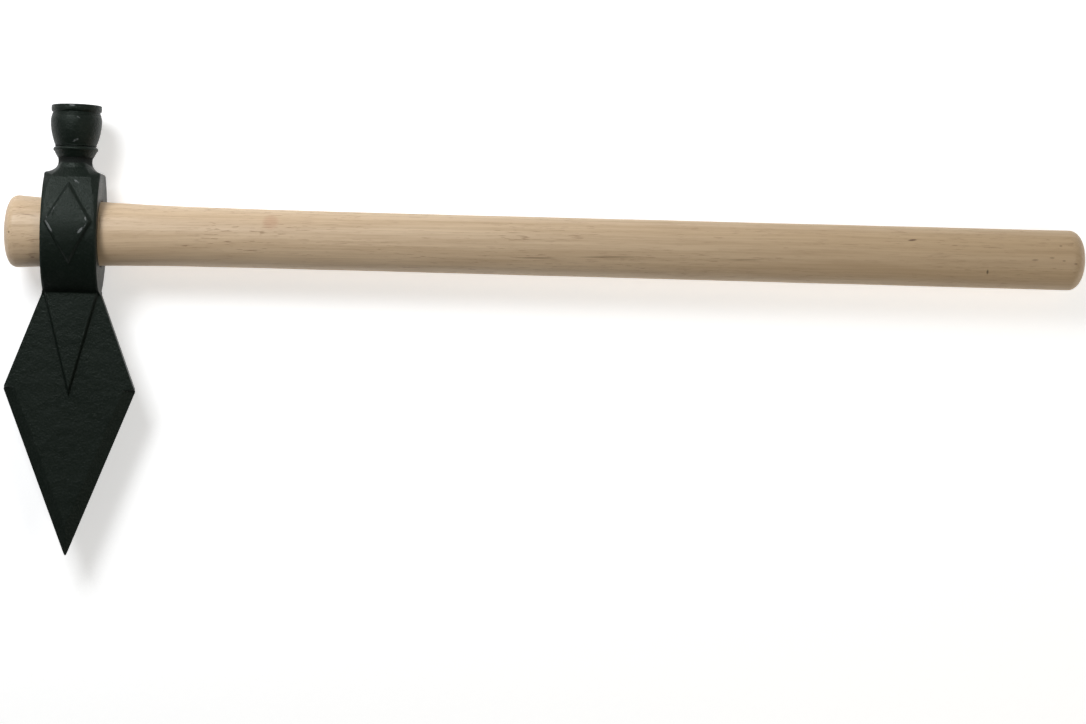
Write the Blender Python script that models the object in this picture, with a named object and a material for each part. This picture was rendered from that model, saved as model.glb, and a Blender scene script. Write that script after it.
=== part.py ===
"""A pipe tomahawk: a steel head with a kite-shaped blade and a pipe bowl, slipped onto a wooden handle.

It lies on its side. +X runs along the handle to its butt, +Y points to the bowl and +Z is up.
The origin is the middle of the bounding box's base. Sizes are in metres.
Every head shape is built about the point where the head's centre line crosses the handle's axis:
x runs along the handle, height is measured towards the bowl, and z is half of the thickness.
"""

import math

import bmesh
import bpy
from mathutils import Vector

# Handle: an oval stick, thickest where the head is wedged on it.
HANDLE_LENGTH = 0.5588
GRIP_DEPTH = 0.0301
BUTT_SWELL = 0.0011
HEAD_SWELL = 0.0083
SWELL_REACH = 0.050
SWELL_SHAPE = 1.15
HANDLE_WIDTH_SHARE = 0.82
SWELL_OFFSET = 0.0007
OFFSET_REACH = 0.080
OFFSET_SHAPE = 1.5
HEAD_DOME = (0.0072, 2.3, 3.0)  # depth, curve along the handle, curve across it
BUTT_DOME = (0.0090, 2.1, 2.0)
DOME_FLAT = 0.22
SEAT_END = 0.0600
SWELL_END = 0.1900

# Eye: the block that the handle passes through.
EYE_CENTRE = 0.0351
EYE_HALF_LENGTH = 0.0145
EYE_TOP = 0.0309
EYE_BOTTOM = 0.0323
CHEEK = 0.0195
SHOULDER = 0.0121
CHEEK_TOP_SHAPE = 1.8
CHEEK_BOTTOM_SHAPE = 1.85
EDGE_CHAMFER = 0.0010
EYE_CLEARANCE = 0.0003

# Bowl and neck, turned about the head's centre line.
NECK_RADIUS = 0.0087
NECK_HEIGHT = 0.0365
FLARE_SHAPE = 1.7
NECK_CONE = ((0.0104, 0.0410), (0.0097, 0.0395), (0.0090, 0.0382))  # radius and height
BEAD_RADIUS = 0.0115
BEAD_HEIGHT = 0.0430
BEAD_ROUND = 0.0013
BELLY_RADIUS = 0.01315
BELLY_HEIGHT = 0.0577
BELLY_FOOT_RADIUS = 0.0105
BELLY_FOOT_HEIGHT = 0.0450
RIM_RADIUS = 0.0130
RIM_TOP = 0.0658
RIM_ROUND = 0.0007
RIM_BAND = 0.0032
RIM_GROOVE = 0.0006
RIM_GROOVE_WIDTH = 0.0011
CAVITY_RADIUS = 0.0088
CAVITY_DEPTH = 0.0200
CAVITY_FLOOR_STEPS = ((0.35, 0.0), (0.80, 0.0018), (1.0, 0.0050))  # share of the radius, rise

# Blade: a kite with its point down. Its lower edges aim at BLADE_POINT and are blunted at BLADE_TIP.
BLADE_ROOT = 0.0313
BLADE_ROOT_HALF = 0.0151
BLADE_CORNER = 0.0816
BLADE_CORNER_HALF = 0.0342
BLADE_POINT = 0.1684
BLADE_TIP = 0.1672
BLADE_HALF_THICK = 0.0028
EDGE_HALF_THICK = 0.0004
GROUND_WIDTH = 0.0060

# Raised kite on each cheek, and raised wedge on each face of the blade.
PAD_WALL_RUN = 0.0012
PAD_POINT = 0.00015
KITE_RISE = 0.0016
KITE_TOP = 0.0258
KITE_SIDE = 0.0050
KITE_BOTTOM = -0.0172
KITE_HALF = 0.0123
WEDGE_RISE = 0.0020
WEDGE_HALF = 0.0141
WEDGE_POINT = 0.0852

# Set screw through the lower cheek.
SCREW_HEIGHT = 0.0045
SCREW_RADIUS = 0.0030
SCREW_SINK = 0.0006
SCREW_CLEARANCE = 0.0003
SOCKET_FLATS = 0.0030
SOCKET_DEPTH = 0.0030
SCREW_CHAMFER = 0.0004
SCREW_POINT = 0.0012

AXIS_Y = (BLADE_TIP - RIM_TOP) / 2
AXIS_Z = CHEEK + KITE_RISE
HANDLE_START = -HANDLE_LENGTH / 2
SMOOTH_BELOW = math.radians(32)
EMBED = 0.0012
OVAL_SIDES = 48
SCREW_SIDES = 24


def clear_scene():
    for item in list(bpy.data.objects):
        bpy.data.objects.remove(item, do_unlink=True)


def make_material(name, colour, roughness, metallic):
    material = bpy.data.materials.new(name)
    material.use_nodes = True
    shader = material.node_tree.nodes["Principled BSDF"]
    shader.inputs["Base Color"].default_value = (*colour, 1.0)
    shader.inputs["Roughness"].default_value = roughness
    shader.inputs["Metallic"].default_value = metallic
    return material


def black_paint():
    return make_material("black_paint", (0.012, 0.014, 0.013), 0.45, 0.0)


def bare_wood():
    return make_material("bare_wood", (0.66, 0.50, 0.35), 0.55, 0.0)


def black_oxide():
    return make_material("black_oxide", (0.03, 0.03, 0.032), 0.38, 1.0)


def steps(first, last, count):
    """Evenly spaced values from first to last, with both ends."""
    return [first + (last - first) * i / (count - 1) for i in range(count)]


def loft(rings):
    """A closed mesh through rings of equally many points, with a face over each end."""
    mesh = bmesh.new()
    loops = [[mesh.verts.new(point) for point in ring] for ring in rings]
    for near, far in zip(loops, loops[1:]):
        for i in range(len(near)):
            j = (i + 1) % len(near)
            mesh.faces.new((near[i], near[j], far[j], far[i]))
    mesh.faces.new(reversed(loops[0]))
    mesh.faces.new(loops[-1])
    bmesh.ops.recalc_face_normals(mesh, faces=mesh.faces)
    return mesh


def add_object(name, mesh, material=None):
    data = bpy.data.meshes.new(name)
    mesh.to_mesh(data)
    mesh.free()
    data.shade_smooth()
    data.set_sharp_from_angle(angle=SMOOTH_BELOW)
    made = bpy.data.objects.new(name, data)
    if material:
        data.materials.append(material)
    bpy.context.scene.collection.objects.link(made)
    return made


def combine(target, other, operation):
    """Joins or cuts with a helper object that stays out of the render."""
    other.hide_render = True
    other.display_type = "WIRE"
    other.parent = target
    step = target.modifiers.new(f"{operation}_{other.name}", "BOOLEAN")
    step.operation = operation
    step.solver = "EXACT"
    step.object = other


# Handle


def handle_half_depth(x):
    """Half of the handle's size towards the bowl, x metres from its head end."""
    swell = HEAD_SWELL * math.exp(-((x / SWELL_REACH) ** SWELL_SHAPE))
    return (GRIP_DEPTH + swell + BUTT_SWELL * x / HANDLE_LENGTH) / 2


def handle_centre(x):
    """The swell stands out a little more towards the bowl, so the grip's middle lies below the head's."""
    return -SWELL_OFFSET * (1 - math.exp(-((x / OFFSET_REACH) ** OFFSET_SHAPE)))


def oval(x, half_depth, half_width, sides):
    turns = [2 * math.pi * i / sides for i in range(sides)]
    return [(x, half_depth * math.cos(t), half_width * math.sin(t)) for t in turns]


def handle_ring(x, share=1.0, growth=0.0):
    """The handle's oval section, scaled by share and then grown outwards."""
    depth = handle_half_depth(x) * share
    ring = oval(x, depth + growth, depth * HANDLE_WIDTH_SHARE + growth, OVAL_SIDES)
    return [(x, y + handle_centre(x), z) for x, y, z in ring]


def end_dome(depth, along, across, count=7):
    """Pairs of distance from the handle's end and the share of its full section there."""
    pairs = [(0.0, DOME_FLAT)]
    for angle in steps(0.42, math.pi / 2, count):
        share = math.sin(angle) ** (2 / across)
        pairs.append((depth * (1 - max(math.cos(angle), 0.0) ** (2 / along)), share))
    return pairs


def build_handle():
    rings = [handle_ring(x, share) for x, share in end_dome(*HEAD_DOME)]
    rings += [handle_ring(x) for x in steps(2 * HEAD_DOME[0], SEAT_END, 7)]
    rings += [handle_ring(x) for x in steps(SEAT_END, SWELL_END, 9)[1:]]
    rings += [handle_ring(x) for x in steps(SWELL_END, HANDLE_LENGTH - 2 * BUTT_DOME[0], 6)[1:]]
    butt = [(HANDLE_LENGTH - x, share) for x, share in end_dome(*BUTT_DOME)]
    rings += [handle_ring(x, share) for x, share in reversed(butt)]
    made = add_object("handle", loft(rings), bare_wood())
    made.location = (HANDLE_START, AXIS_Y, AXIS_Z)
    return made


# Head


def cheek_at(height):
    """Half of the eye block's thickness at a height from the handle's axis."""
    if height >= 0:
        return CHEEK - (CHEEK - SHOULDER) * (height / EYE_TOP) ** CHEEK_TOP_SHAPE
    share = 1 - (-height / EYE_BOTTOM) ** CHEEK_BOTTOM_SHAPE
    return CHEEK * max(share, 0.0) ** (1 / CHEEK_BOTTOM_SHAPE)


def eye_outline(inset):
    """The eye block's side view as (height, z) points, drawn in by inset."""
    curl = [-EYE_BOTTOM * math.sin(a) for a in steps(0, math.pi / 2, 15)]
    heights = steps(EYE_TOP, 0, 11) + curl[1:]
    near = [(height, cheek_at(height)) for height in heights]
    far = [(height, -z) for height, z in reversed(near[:-1])]
    points = [Vector(point) for point in near + far]
    drawn = []
    for i, point in enumerate(points):
        along = points[(i + 1) % len(points)] - points[i - 1]
        inward = Vector((along.y, -along.x)).normalized()
        inward = -inward if inward.dot(point) > 0 else inward
        drawn.append(point + inward * inset)
    return drawn


def eye_block():
    rings = []
    for side, inset in ((-1, EDGE_CHAMFER), (-1, 0), (1, 0), (1, EDGE_CHAMFER)):
        x = side * (EYE_HALF_LENGTH - EDGE_CHAMFER + inset)
        rings.append([(x, height, z) for height, z in eye_outline(inset)])
    return add_object("eye_block", loft(rings))


def rounded_box_ring(height, half_x, half_z, squareness):
    """A ring between an oval (squareness 0) and a box with small corners (squareness 1)."""
    power = 2 + 14 * squareness
    ring = []
    for i in range(OVAL_SIDES):
        angle = 2 * math.pi * (i + 0.5) / OVAL_SIDES
        c, s = math.cos(angle), math.sin(angle)
        reach = (abs(c) ** power + abs(s) ** power) ** (-1 / power)
        ring.append((half_x * c * reach, height, half_z * s * reach))
    return ring


def turned_profile():
    """Radius and height down the outside of the bowl, from its rim to the neck."""
    band_foot = RIM_TOP - RIM_BAND
    groove = RIM_RADIUS - RIM_GROOVE
    groove_foot = band_foot - RIM_GROOVE_WIDTH
    rim = [(RIM_RADIUS - RIM_ROUND, RIM_TOP), (RIM_RADIUS, RIM_TOP - RIM_ROUND), (RIM_RADIUS, band_foot)]
    rim += [(groove, band_foot - RIM_GROOVE), (groove, groove_foot)]
    belly = []
    for height in steps(groove_foot - RIM_GROOVE, BELLY_FOOT_HEIGHT, 8):
        share = max(BELLY_HEIGHT - height, 0) / (BELLY_HEIGHT - BELLY_FOOT_HEIGHT)
        belly.append((BELLY_RADIUS - (BELLY_RADIUS - BELLY_FOOT_RADIUS) * share**2, height))
    bead = []
    for angle in steps(1.1, -0.9, 5):
        out, up = BEAD_ROUND * math.cos(angle), BEAD_ROUND * math.sin(angle)
        bead.append((BEAD_RADIUS - BEAD_ROUND + out, BEAD_HEIGHT + up))
    return rim + belly + bead + [*NECK_CONE, (NECK_RADIUS, NECK_HEIGHT)]


def cavity_profile():
    """Radius and height up the inside of the bowl, from its floor to the rim."""
    floor = RIM_TOP - CAVITY_DEPTH
    wall = [(CAVITY_RADIUS * share, floor + rise) for share, rise in CAVITY_FLOOR_STEPS]
    return wall + [(CAVITY_RADIUS, RIM_TOP - RIM_ROUND), (CAVITY_RADIUS + RIM_ROUND, RIM_TOP)]


def bowl_and_neck():
    rings = []
    for radius, height in cavity_profile() + turned_profile():
        rings.append(rounded_box_ring(height, radius, radius, 0))
    for share in steps(0.2, 1.0, 7):
        height = NECK_HEIGHT + (EYE_TOP - NECK_HEIGHT) * share
        spread = 1 - max(1 - share**FLARE_SHAPE, 0.0) ** (1 / FLARE_SHAPE)
        half_x = NECK_RADIUS + (EYE_HALF_LENGTH - EDGE_CHAMFER - NECK_RADIUS) * spread
        half_z = NECK_RADIUS + (SHOULDER - EDGE_CHAMFER - NECK_RADIUS) * spread
        rings.append(rounded_box_ring(height, half_x, half_z, spread))
    half_x, half_z = EYE_HALF_LENGTH - 2 * EDGE_CHAMFER, SHOULDER - 2 * EDGE_CHAMFER
    rings.append(rounded_box_ring(EYE_TOP - EMBED, half_x, half_z, 1.0))
    return add_object("bowl_and_neck", loft(rings))


def blade_half_width(height):
    """Half of the blade's width at a height, which is negative below the handle."""
    down = -height
    if down <= BLADE_CORNER:
        share = (down - BLADE_ROOT) / (BLADE_CORNER - BLADE_ROOT)
        return BLADE_ROOT_HALF + (BLADE_CORNER_HALF - BLADE_ROOT_HALF) * share
    return BLADE_CORNER_HALF * (BLADE_POINT - down) / (BLADE_POINT - BLADE_CORNER)


def blade_corners():
    """The blade's named points on one half of its upper face, as (x, height, z)."""
    slope = math.atan2(BLADE_CORNER_HALF, BLADE_POINT - BLADE_CORNER)
    top = EMBED - BLADE_ROOT
    stop = GROUND_WIDTH / 4 - BLADE_CORNER
    inner = BLADE_CORNER_HALF - GROUND_WIDTH / math.cos(slope)
    return {
        "root": (blade_half_width(top), top, BLADE_HALF_THICK),
        "stop": (blade_half_width(stop), stop, BLADE_HALF_THICK),
        "inner": (inner, -BLADE_CORNER, BLADE_HALF_THICK),
        "corner": (BLADE_CORNER_HALF, -BLADE_CORNER, EDGE_HALF_THICK),
        "end": (0, GROUND_WIDTH / math.sin(slope) - BLADE_POINT, BLADE_HALF_THICK),
        "tip": (blade_half_width(-BLADE_TIP), -BLADE_TIP, EDGE_HALF_THICK),
    }


def blade():
    """Flat faces with ground lower edges. The upper edges are square and end at the side corners."""
    mesh = bmesh.new()
    points = {}
    for name, (x, height, z) in blade_corners().items():
        for side in (1, -1):
            for half in (1, -1) if x else (1,):
                points[name, side, half] = mesh.verts.new((half * x, height, side * z))
            if not x:
                points[name, side, -1] = points[name, side, 1]
    for side in (1, -1):
        right = [points[name, side, 1] for name in ("root", "stop", "inner", "end")]
        left = [points[name, side, -1] for name in ("inner", "stop", "root")]
        mesh.faces.new(right + left)
        for half in (1, -1):
            stop_facet = ("stop", "corner", "inner")
            ground_facet = ("inner", "corner", "tip", "end")
            for facet in (stop_facet, ground_facet):
                mesh.faces.new([points[name, side, half] for name in facet])
    for half in (1, -1):
        for first, second in (("root", "stop"), ("stop", "corner"), ("corner", "tip")):
            upper = [points[first, 1, half], points[second, 1, half]]
            lower = [points[second, -1, half], points[first, -1, half]]
            mesh.faces.new(upper + lower)
    for name in ("root", "tip"):
        upper = [points[name, 1, -1], points[name, 1, 1]]
        mesh.faces.new(upper + [points[name, -1, 1], points[name, -1, -1]])
    for side in (1, -1):
        mesh.faces.new([points["end", side, 1], points["tip", side, 1], points["tip", side, -1]])
    bmesh.ops.recalc_face_normals(mesh, faces=mesh.faces)
    return add_object("blade", mesh)


def raised_pad(name, side, heights, half_width, surface, rise):
    """A pad with sloping walls that follows a surface. half_width is that of its foot."""
    rings = []
    for height in heights:
        foot = max(half_width(height), PAD_POINT)
        crown = max(foot - PAD_WALL_RUN, PAD_POINT / 3)
        deep = foot + PAD_WALL_RUN * EMBED / rise
        low, high = surface(height) - EMBED, surface(height) + rise
        corners = ((-deep, low), (-crown, high), (crown, high), (deep, low))
        rings.append([(x, height, side * z) for x, z in corners])
    return add_object(name, loft(rings))


def kite_half_width(height):
    if height > KITE_SIDE:
        return KITE_HALF * (KITE_TOP - height) / (KITE_TOP - KITE_SIDE)
    return KITE_HALF * (height - KITE_BOTTOM) / (KITE_SIDE - KITE_BOTTOM)


def wedge_half_width(height):
    share = (height + WEDGE_POINT) / (WEDGE_POINT - BLADE_ROOT)
    return WEDGE_HALF * min(share, 1.0)


def blade_face_at(height):
    return BLADE_HALF_THICK


def kite_pad(name, side):
    heights = steps(KITE_TOP, KITE_SIDE, 8) + steps(KITE_SIDE, 0, 4)[1:] + steps(0, KITE_BOTTOM, 8)[1:]
    return raised_pad(name, side, heights, kite_half_width, cheek_at, KITE_RISE)


def wedge_pad(name, side):
    heights = (2 * EMBED - BLADE_ROOT, -BLADE_ROOT, -WEDGE_POINT)
    return raised_pad(name, side, heights, wedge_half_width, blade_face_at, WEDGE_RISE)


def eye_hole():
    """The handle's own tapered oval, one clearance larger, run past both faces of the eye."""
    reach = EYE_HALF_LENGTH + EMBED
    rings = []
    for place in steps(-reach, reach, 9):
        ring = handle_ring(EYE_CENTRE + place, growth=EYE_CLEARANCE)
        rings.append([(place, y, z) for _, y, z in ring])
    return add_object("eye_hole", loft(rings))


def screw_hole():
    deep = -(CHEEK + KITE_RISE + EMBED)
    radius = SCREW_RADIUS + SCREW_CLEARANCE
    rings = []
    for z in (deep, 0):
        rings.append([(x, y + SCREW_HEIGHT, z) for _, x, y in oval(0, radius, radius, SCREW_SIDES)])
    return add_object("screw_hole", loft(rings))


def build_head(parent):
    head = eye_block()
    head.name = "axe_head"
    head.data.materials.append(black_paint())
    combine(head, bowl_and_neck(), "UNION")
    combine(head, blade(), "UNION")
    for side, face in ((1, "upper"), (-1, "lower")):
        combine(head, kite_pad(f"{face}_kite", side), "UNION")
        combine(head, wedge_pad(f"{face}_wedge", side), "UNION")
    combine(head, eye_hole(), "DIFFERENCE")
    combine(head, screw_hole(), "DIFFERENCE")
    head.parent = parent
    head.location = (EYE_CENTRE, 0, 0)
    return head


# Set screw


def round_ring(radius, z):
    return [(x, y, z) for _, x, y in oval(0, radius, radius, SCREW_SIDES)]


def socket_ring(z):
    """A hexagon drawn with as many points as the round rings that it joins."""
    ring = []
    for x, y, _ in round_ring(1.0, z):
        within = (math.atan2(y, x) + math.pi / 6) % (math.pi / 3) - math.pi / 6
        radius = SOCKET_FLATS / 2 / math.cos(within)
        ring.append((radius * x, radius * y, z))
    return ring


def build_set_screw(head):
    """A headless screw with a hexagon socket, its point a clearance short of the handle."""
    depth = handle_half_depth(EYE_CENTRE)
    handle_face = depth * HANDLE_WIDTH_SHARE * math.sqrt(1 - (SCREW_HEIGHT / depth) ** 2)
    face = SCREW_SINK - cheek_at(SCREW_HEIGHT) - KITE_RISE
    point = -handle_face - EYE_CLEARANCE
    rings = [
        socket_ring(face + SOCKET_DEPTH),
        socket_ring(face),
        round_ring(SCREW_RADIUS - SCREW_CHAMFER, face),
        round_ring(SCREW_RADIUS, face + SCREW_CHAMFER),
        round_ring(SCREW_RADIUS, point - SCREW_POINT),
        round_ring(SCREW_RADIUS - SCREW_POINT, point),
    ]
    screw = add_object("set_screw", loft(rings), black_oxide())
    screw.parent = head
    screw.location = (0, SCREW_HEIGHT, 0)
    return screw


def main():
    clear_scene()
    handle = build_handle()
    head = build_head(handle)
    build_set_screw(head)


main()
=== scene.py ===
"""The looks of a pipe tomahawk that lies on its side on a pale floor, seen from straight above.

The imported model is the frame. Its three nodes are replaced by finer meshes of the same size: the head,
the handle and the set screw. Lengths are in metres. Head shapes are built about the point where the
head's centre line crosses the handle's axis: x runs along the handle, height towards the bowl and
z through the cheek.
"""

import math

import bmesh
import bpy
from mathutils import Matrix, Vector, noise


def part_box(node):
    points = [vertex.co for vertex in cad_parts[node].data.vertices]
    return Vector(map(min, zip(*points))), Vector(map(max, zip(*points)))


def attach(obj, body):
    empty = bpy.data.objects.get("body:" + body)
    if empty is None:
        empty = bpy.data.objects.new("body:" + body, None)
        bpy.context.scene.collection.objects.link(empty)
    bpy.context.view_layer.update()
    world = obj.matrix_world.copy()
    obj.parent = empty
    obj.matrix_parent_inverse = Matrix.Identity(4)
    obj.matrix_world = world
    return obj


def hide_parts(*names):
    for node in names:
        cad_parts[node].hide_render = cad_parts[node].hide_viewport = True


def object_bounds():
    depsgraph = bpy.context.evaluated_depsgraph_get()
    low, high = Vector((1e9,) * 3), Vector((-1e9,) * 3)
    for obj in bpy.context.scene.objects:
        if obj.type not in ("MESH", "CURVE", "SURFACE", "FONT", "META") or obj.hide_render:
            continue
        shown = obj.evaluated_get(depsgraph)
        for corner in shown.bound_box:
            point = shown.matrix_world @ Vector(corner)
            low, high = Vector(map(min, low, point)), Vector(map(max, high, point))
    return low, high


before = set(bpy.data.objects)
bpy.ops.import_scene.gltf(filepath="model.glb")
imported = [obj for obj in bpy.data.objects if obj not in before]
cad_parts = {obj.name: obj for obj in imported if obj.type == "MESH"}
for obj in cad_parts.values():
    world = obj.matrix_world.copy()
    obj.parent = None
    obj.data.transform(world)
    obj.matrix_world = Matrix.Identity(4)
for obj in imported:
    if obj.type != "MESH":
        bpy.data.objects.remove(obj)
cad_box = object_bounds()

# The frame's places.
HANDLE_LOW, HANDLE_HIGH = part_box("handle")
HEAD_LOW, HEAD_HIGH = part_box("axe_head")
SCREW_LOW, SCREW_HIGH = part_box("set_screw")
RIM_TOP = 0.0658
AXIS_Y = HEAD_HIGH.y - RIM_TOP
AXIS_Z = (HANDLE_LOW.z + HANDLE_HIGH.z) / 2
HEAD_X = (HEAD_LOW.x + HEAD_HIGH.x) / 2
HANDLE_LENGTH = HANDLE_HIGH.x - HANDLE_LOW.x
EYE_CENTRE = HEAD_X - HANDLE_LOW.x

# Handle.
GRIP_DEPTH = 0.0301
BUTT_SWELL = 0.0011
HEAD_SWELL = 0.0083
SWELL_REACH = 0.050
SWELL_SHAPE = 1.15
HANDLE_WIDTH_SHARE = 0.82
SWELL_OFFSET = 0.0007
OFFSET_REACH = 0.080
OFFSET_SHAPE = 1.5
HEAD_DOME = (0.0072, 2.3, 3.0)  # depth, curve along the handle, curve across it
BUTT_DOME = (0.0088, 2.15, 2.25)
DOME_MIDDLE = 0.03
ARRIS_PLACE = 0.0030
ARRIS_WIDTH = 0.0006
ARRIS_RISE = 0.008
HANDLE_SIDES = 96
HAND_SANDING = 0.00012

# Eye block.
EYE_HALF_LENGTH = 0.0145
EYE_TOP = 0.0309
EYE_BOTTOM = 0.0323
CHEEK = 0.0195
SHOULDER = 0.0121
CHEEK_TOP_SHAPE = 1.8
CHEEK_BOTTOM_SHAPE = 1.85
# The filed upright edges: size low down, size at the top, and how fast it grows.
CHAMFER_TOP = 0.0281
CHAMFER_ACROSS = (0.0010, 0.0042, 1.7)
CHAMFER_DEEP = (0.0006, 0.0030, 6.0)
CHAMFER_SOFT = 0.0003
SIDE_ROUND = 0.0014
SHOULDER_SLOPE = math.radians(16.5)
FRONT_EDGE = 0.0283  # the height of the cheek's upper edge
FRONT_EDGE_SOFT = 0.0007
FRONT_START = 0.0374
# How far the flare over the cheek has fallen, and how far it has spread there.
FRONT_TURNS = ((0.0, 0.0), (0.05, 0.006), (0.10, 0.035), (0.42, 0.225), (0.46, 0.26), (1.0, 1.0))
EYE_CLEARANCE = 0.0003
MOUTH_ROUND = 0.0009
MOUTH_OVERSHOOT = 0.001

# Bowl and neck.
NECK_RADIUS = 0.0087
NECK_HEIGHT = 0.0365
NECK_GROOVE_HEIGHT = 0.0385
NECK_GROOVE = 0.00018
NECK_GROOVE_HALF = 0.0003
WAIST = ((0.00010, 0.0380), (0.00003, 0.0377))  # outwards from the neck, and height
CONE = ((0.01055, 0.0413), (0.0100, 0.0402), (0.0095, 0.0393), (0.00915, 0.0388))  # radius and height
BEAD_RADIUS = 0.0115
BEAD_HEIGHT = 0.0430
BEAD_ROUND = 0.0012
BELLY_RADIUS = 0.01315
BELLY_HEIGHT = 0.0577
BELLY_FOOT_RADIUS = 0.0105
BELLY_FOOT_HEIGHT = 0.0450
BELLY_LIP = 0.0004
# The belly's upper lip and the turned line below it: inwards and down from the groove's lower side.
LIP_LINE = (
    (0.00030, 0.0),
    (0.00022, 0.00012),
    (0.0, 0.00062),
    (0.00002, 0.00070),
    (0.00014, 0.00088),
    (0.0, 0.00108),
)
FOOT_RING = 0.0003
RIM_RADIUS = 0.0130
RIM_ROUND = 0.0007
RIM_BAND = 0.0032
RIM_BULGE = 0.00025
RIM_GROOVE = 0.0006
RIM_GROOVE_WIDTH = 0.0014
CAVITY_RADIUS = 0.0088
CAVITY_DEPTH = 0.0200
CAVITY_FLOOR_ROUND = 0.0050
CAVITY_FLAT = 0.12  # the flat middle's share of the cavity's radius
SOOT_DEPTH = 0.006

# Blade. Its lower edges aim at BLADE_POINT and are rounded off at the tip.
BLADE_ROOT = 0.0313
BLADE_ROOT_HALF = 0.0151
BLADE_CORNER = 0.0816
BLADE_CORNER_HALF = (HEAD_HIGH.x - HEAD_LOW.x) / 2
BLADE_POINT = 0.1684
BLADE_TIP = AXIS_Y - HEAD_LOW.y
TIP_ROUND = 0.0005
TIP_END = 1.2  # radians around the tip where its last small face lies
CORNER_SOFTNESS = 0.00013
BLADE_HALF_THICK = 0.0028
EDGE_HALF_THICK = 0.0004
GROUND_WIDTH = 0.0060
GROUND_SLOPE = math.atan2(BLADE_CORNER_HALF, BLADE_POINT - BLADE_CORNER)
BLADE_EDGE_ROUND = 0.0005
JOINT_FILLET = 0.0005

# Raised kite and raised wedge.
KITE_WALL_RUN = 0.0012
WEDGE_WALL_RUN = 0.0010
PAD_SOFTNESS = 0.020
KITE_RISE = 0.0016
KITE_TOP = 0.0258
KITE_SIDE = 0.0050
KITE_BOTTOM = -0.0172
KITE_HALF = 0.0123
KITE_LEAN = -0.025
KITE_SQUARE = -0.0052  # the height where the kite is in line with the head
LEAN_FADE = 0.008
KITE_FADE = 0.004  # past its points, where the columns spread out evenly again
WEDGE_RISE = 0.0020
WEDGE_HALF = 0.0141
WEDGE_POINT = 0.0852

# Set screw.
SCREW_RADIUS = (SCREW_HIGH.x - SCREW_LOW.x) / 2
SCREW_Y = (SCREW_HIGH.y + SCREW_LOW.y) / 2
SCREW_PITCH = 0.0010
THREAD_DEPTH = 0.0005
SOCKET_FLATS = 0.0030
SOCKET_DEPTH = 0.0030
SCREW_CLEARANCE = 0.0003
SCREW_MOUTH = 0.0004
SCREW_CHAMFER = 0.0006
SCREW_POINT = 0.0012
SOCKET_CHAMFER = 1.08  # the socket's mouth as a share of the socket
SCREW_SIDES = 48

# Columns of a quarter of a head section, counted from the cheek's middle to the side's middle.
FACE_COLUMN = 8
CORNER_COLUMN = 13
LAST_COLUMN = 18


def steps(first, last, count):
    """Evenly spaced values from first to last, with both ends."""
    return [first + (last - first) * i / (count - 1) for i in range(count)]


def mix(first, second, share):
    return first + (second - first) * share


def smooth_share(value, low, high):
    """0 below low, 1 above high, and an even turn between them."""
    share = min(max((value - low) / (high - low), 0.0), 1.0)
    return share * share * (3 - 2 * share)


def loft(rings):
    """A closed mesh through rings of equally many points, with a face over each end."""
    mesh = bmesh.new()
    loops = [[mesh.verts.new(point) for point in ring] for ring in rings]
    for near, far in zip(loops, loops[1:]):
        for i in range(len(near)):
            j = (i + 1) % len(near)
            mesh.faces.new((near[i], near[j], far[j], far[i]))
    mesh.faces.new(reversed(loops[0]))
    mesh.faces.new(loops[-1])
    return mesh


def finish_mesh(name, mesh, merge=2e-5):
    """Merges columns that met, and makes the object."""
    bmesh.ops.remove_doubles(mesh, verts=mesh.verts, dist=merge)
    bmesh.ops.dissolve_degenerate(mesh, edges=mesh.edges, dist=merge / 4)
    bmesh.ops.recalc_face_normals(mesh, faces=mesh.faces)
    data = bpy.data.meshes.new(name)
    mesh.to_mesh(data)
    mesh.free()
    data.shade_smooth()
    made = bpy.data.objects.new(name, data)
    bpy.context.scene.collection.objects.link(made)
    return made


def cut(target, cutters):
    """Takes each cutter out of the target and removes the cutters."""
    for cutter in cutters:
        step = target.modifiers.new("cut", "BOOLEAN")
        step.operation = "DIFFERENCE"
        step.solver = "EXACT"
        step.object = cutter
    apply_modifiers(target)
    for cutter in cutters:
        bpy.data.objects.remove(cutter)


def apply_modifiers(target):
    """Keeps the shape that the modifiers give and drops the modifiers."""
    graph = bpy.context.evaluated_depsgraph_get()
    made = bpy.data.meshes.new_from_object(target.evaluated_get(graph))
    target.modifiers.clear()
    target.data = made


def even_shading(target, sharp_angle):
    """Large flats keep their own normal, and only the narrow roundings turn it."""
    target.data.set_sharp_from_angle(angle=sharp_angle)
    step = target.modifiers.new("even_shading", "WEIGHTED_NORMAL")
    step.keep_sharp = True
    step.weight = 60


# Handle


def handle_half_depth(x):
    """Half of the handle's size towards the bowl, x metres from its head end."""
    swell = HEAD_SWELL * math.exp(-((max(x, 0.0) / SWELL_REACH) ** SWELL_SHAPE))
    return (GRIP_DEPTH + swell + BUTT_SWELL * x / HANDLE_LENGTH) / 2


def handle_centre(x):
    """The swell stands out a little more towards the bowl, so the grip's middle lies below the head's."""
    return -SWELL_OFFSET * (1 - math.exp(-((max(x, 0.0) / OFFSET_REACH) ** OFFSET_SHAPE)))


def handle_ring(x, share=1.0, growth=0.0, sides=HANDLE_SIDES):
    """The handle's oval section, scaled by share and then grown outwards."""
    depth = handle_half_depth(x) * share
    width = depth * HANDLE_WIDTH_SHARE
    middle = handle_centre(x)
    turns = [2 * math.pi * i / sides for i in range(sides)]
    return [(x, middle + (depth + growth) * math.cos(t), (width + growth) * math.sin(t)) for t in turns]


def end_dome(depth, along, across, count=26):
    """Pairs of distance from the handle's end and the share of its full section there."""
    pairs = []
    for angle in steps(0.0, math.pi / 2, count):
        share = max(math.sin(angle) ** (2 / across), DOME_MIDDLE)
        pairs.append((depth * (1 - max(math.cos(angle), 0.0) ** (2 / along)), share))
    return pairs


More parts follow.
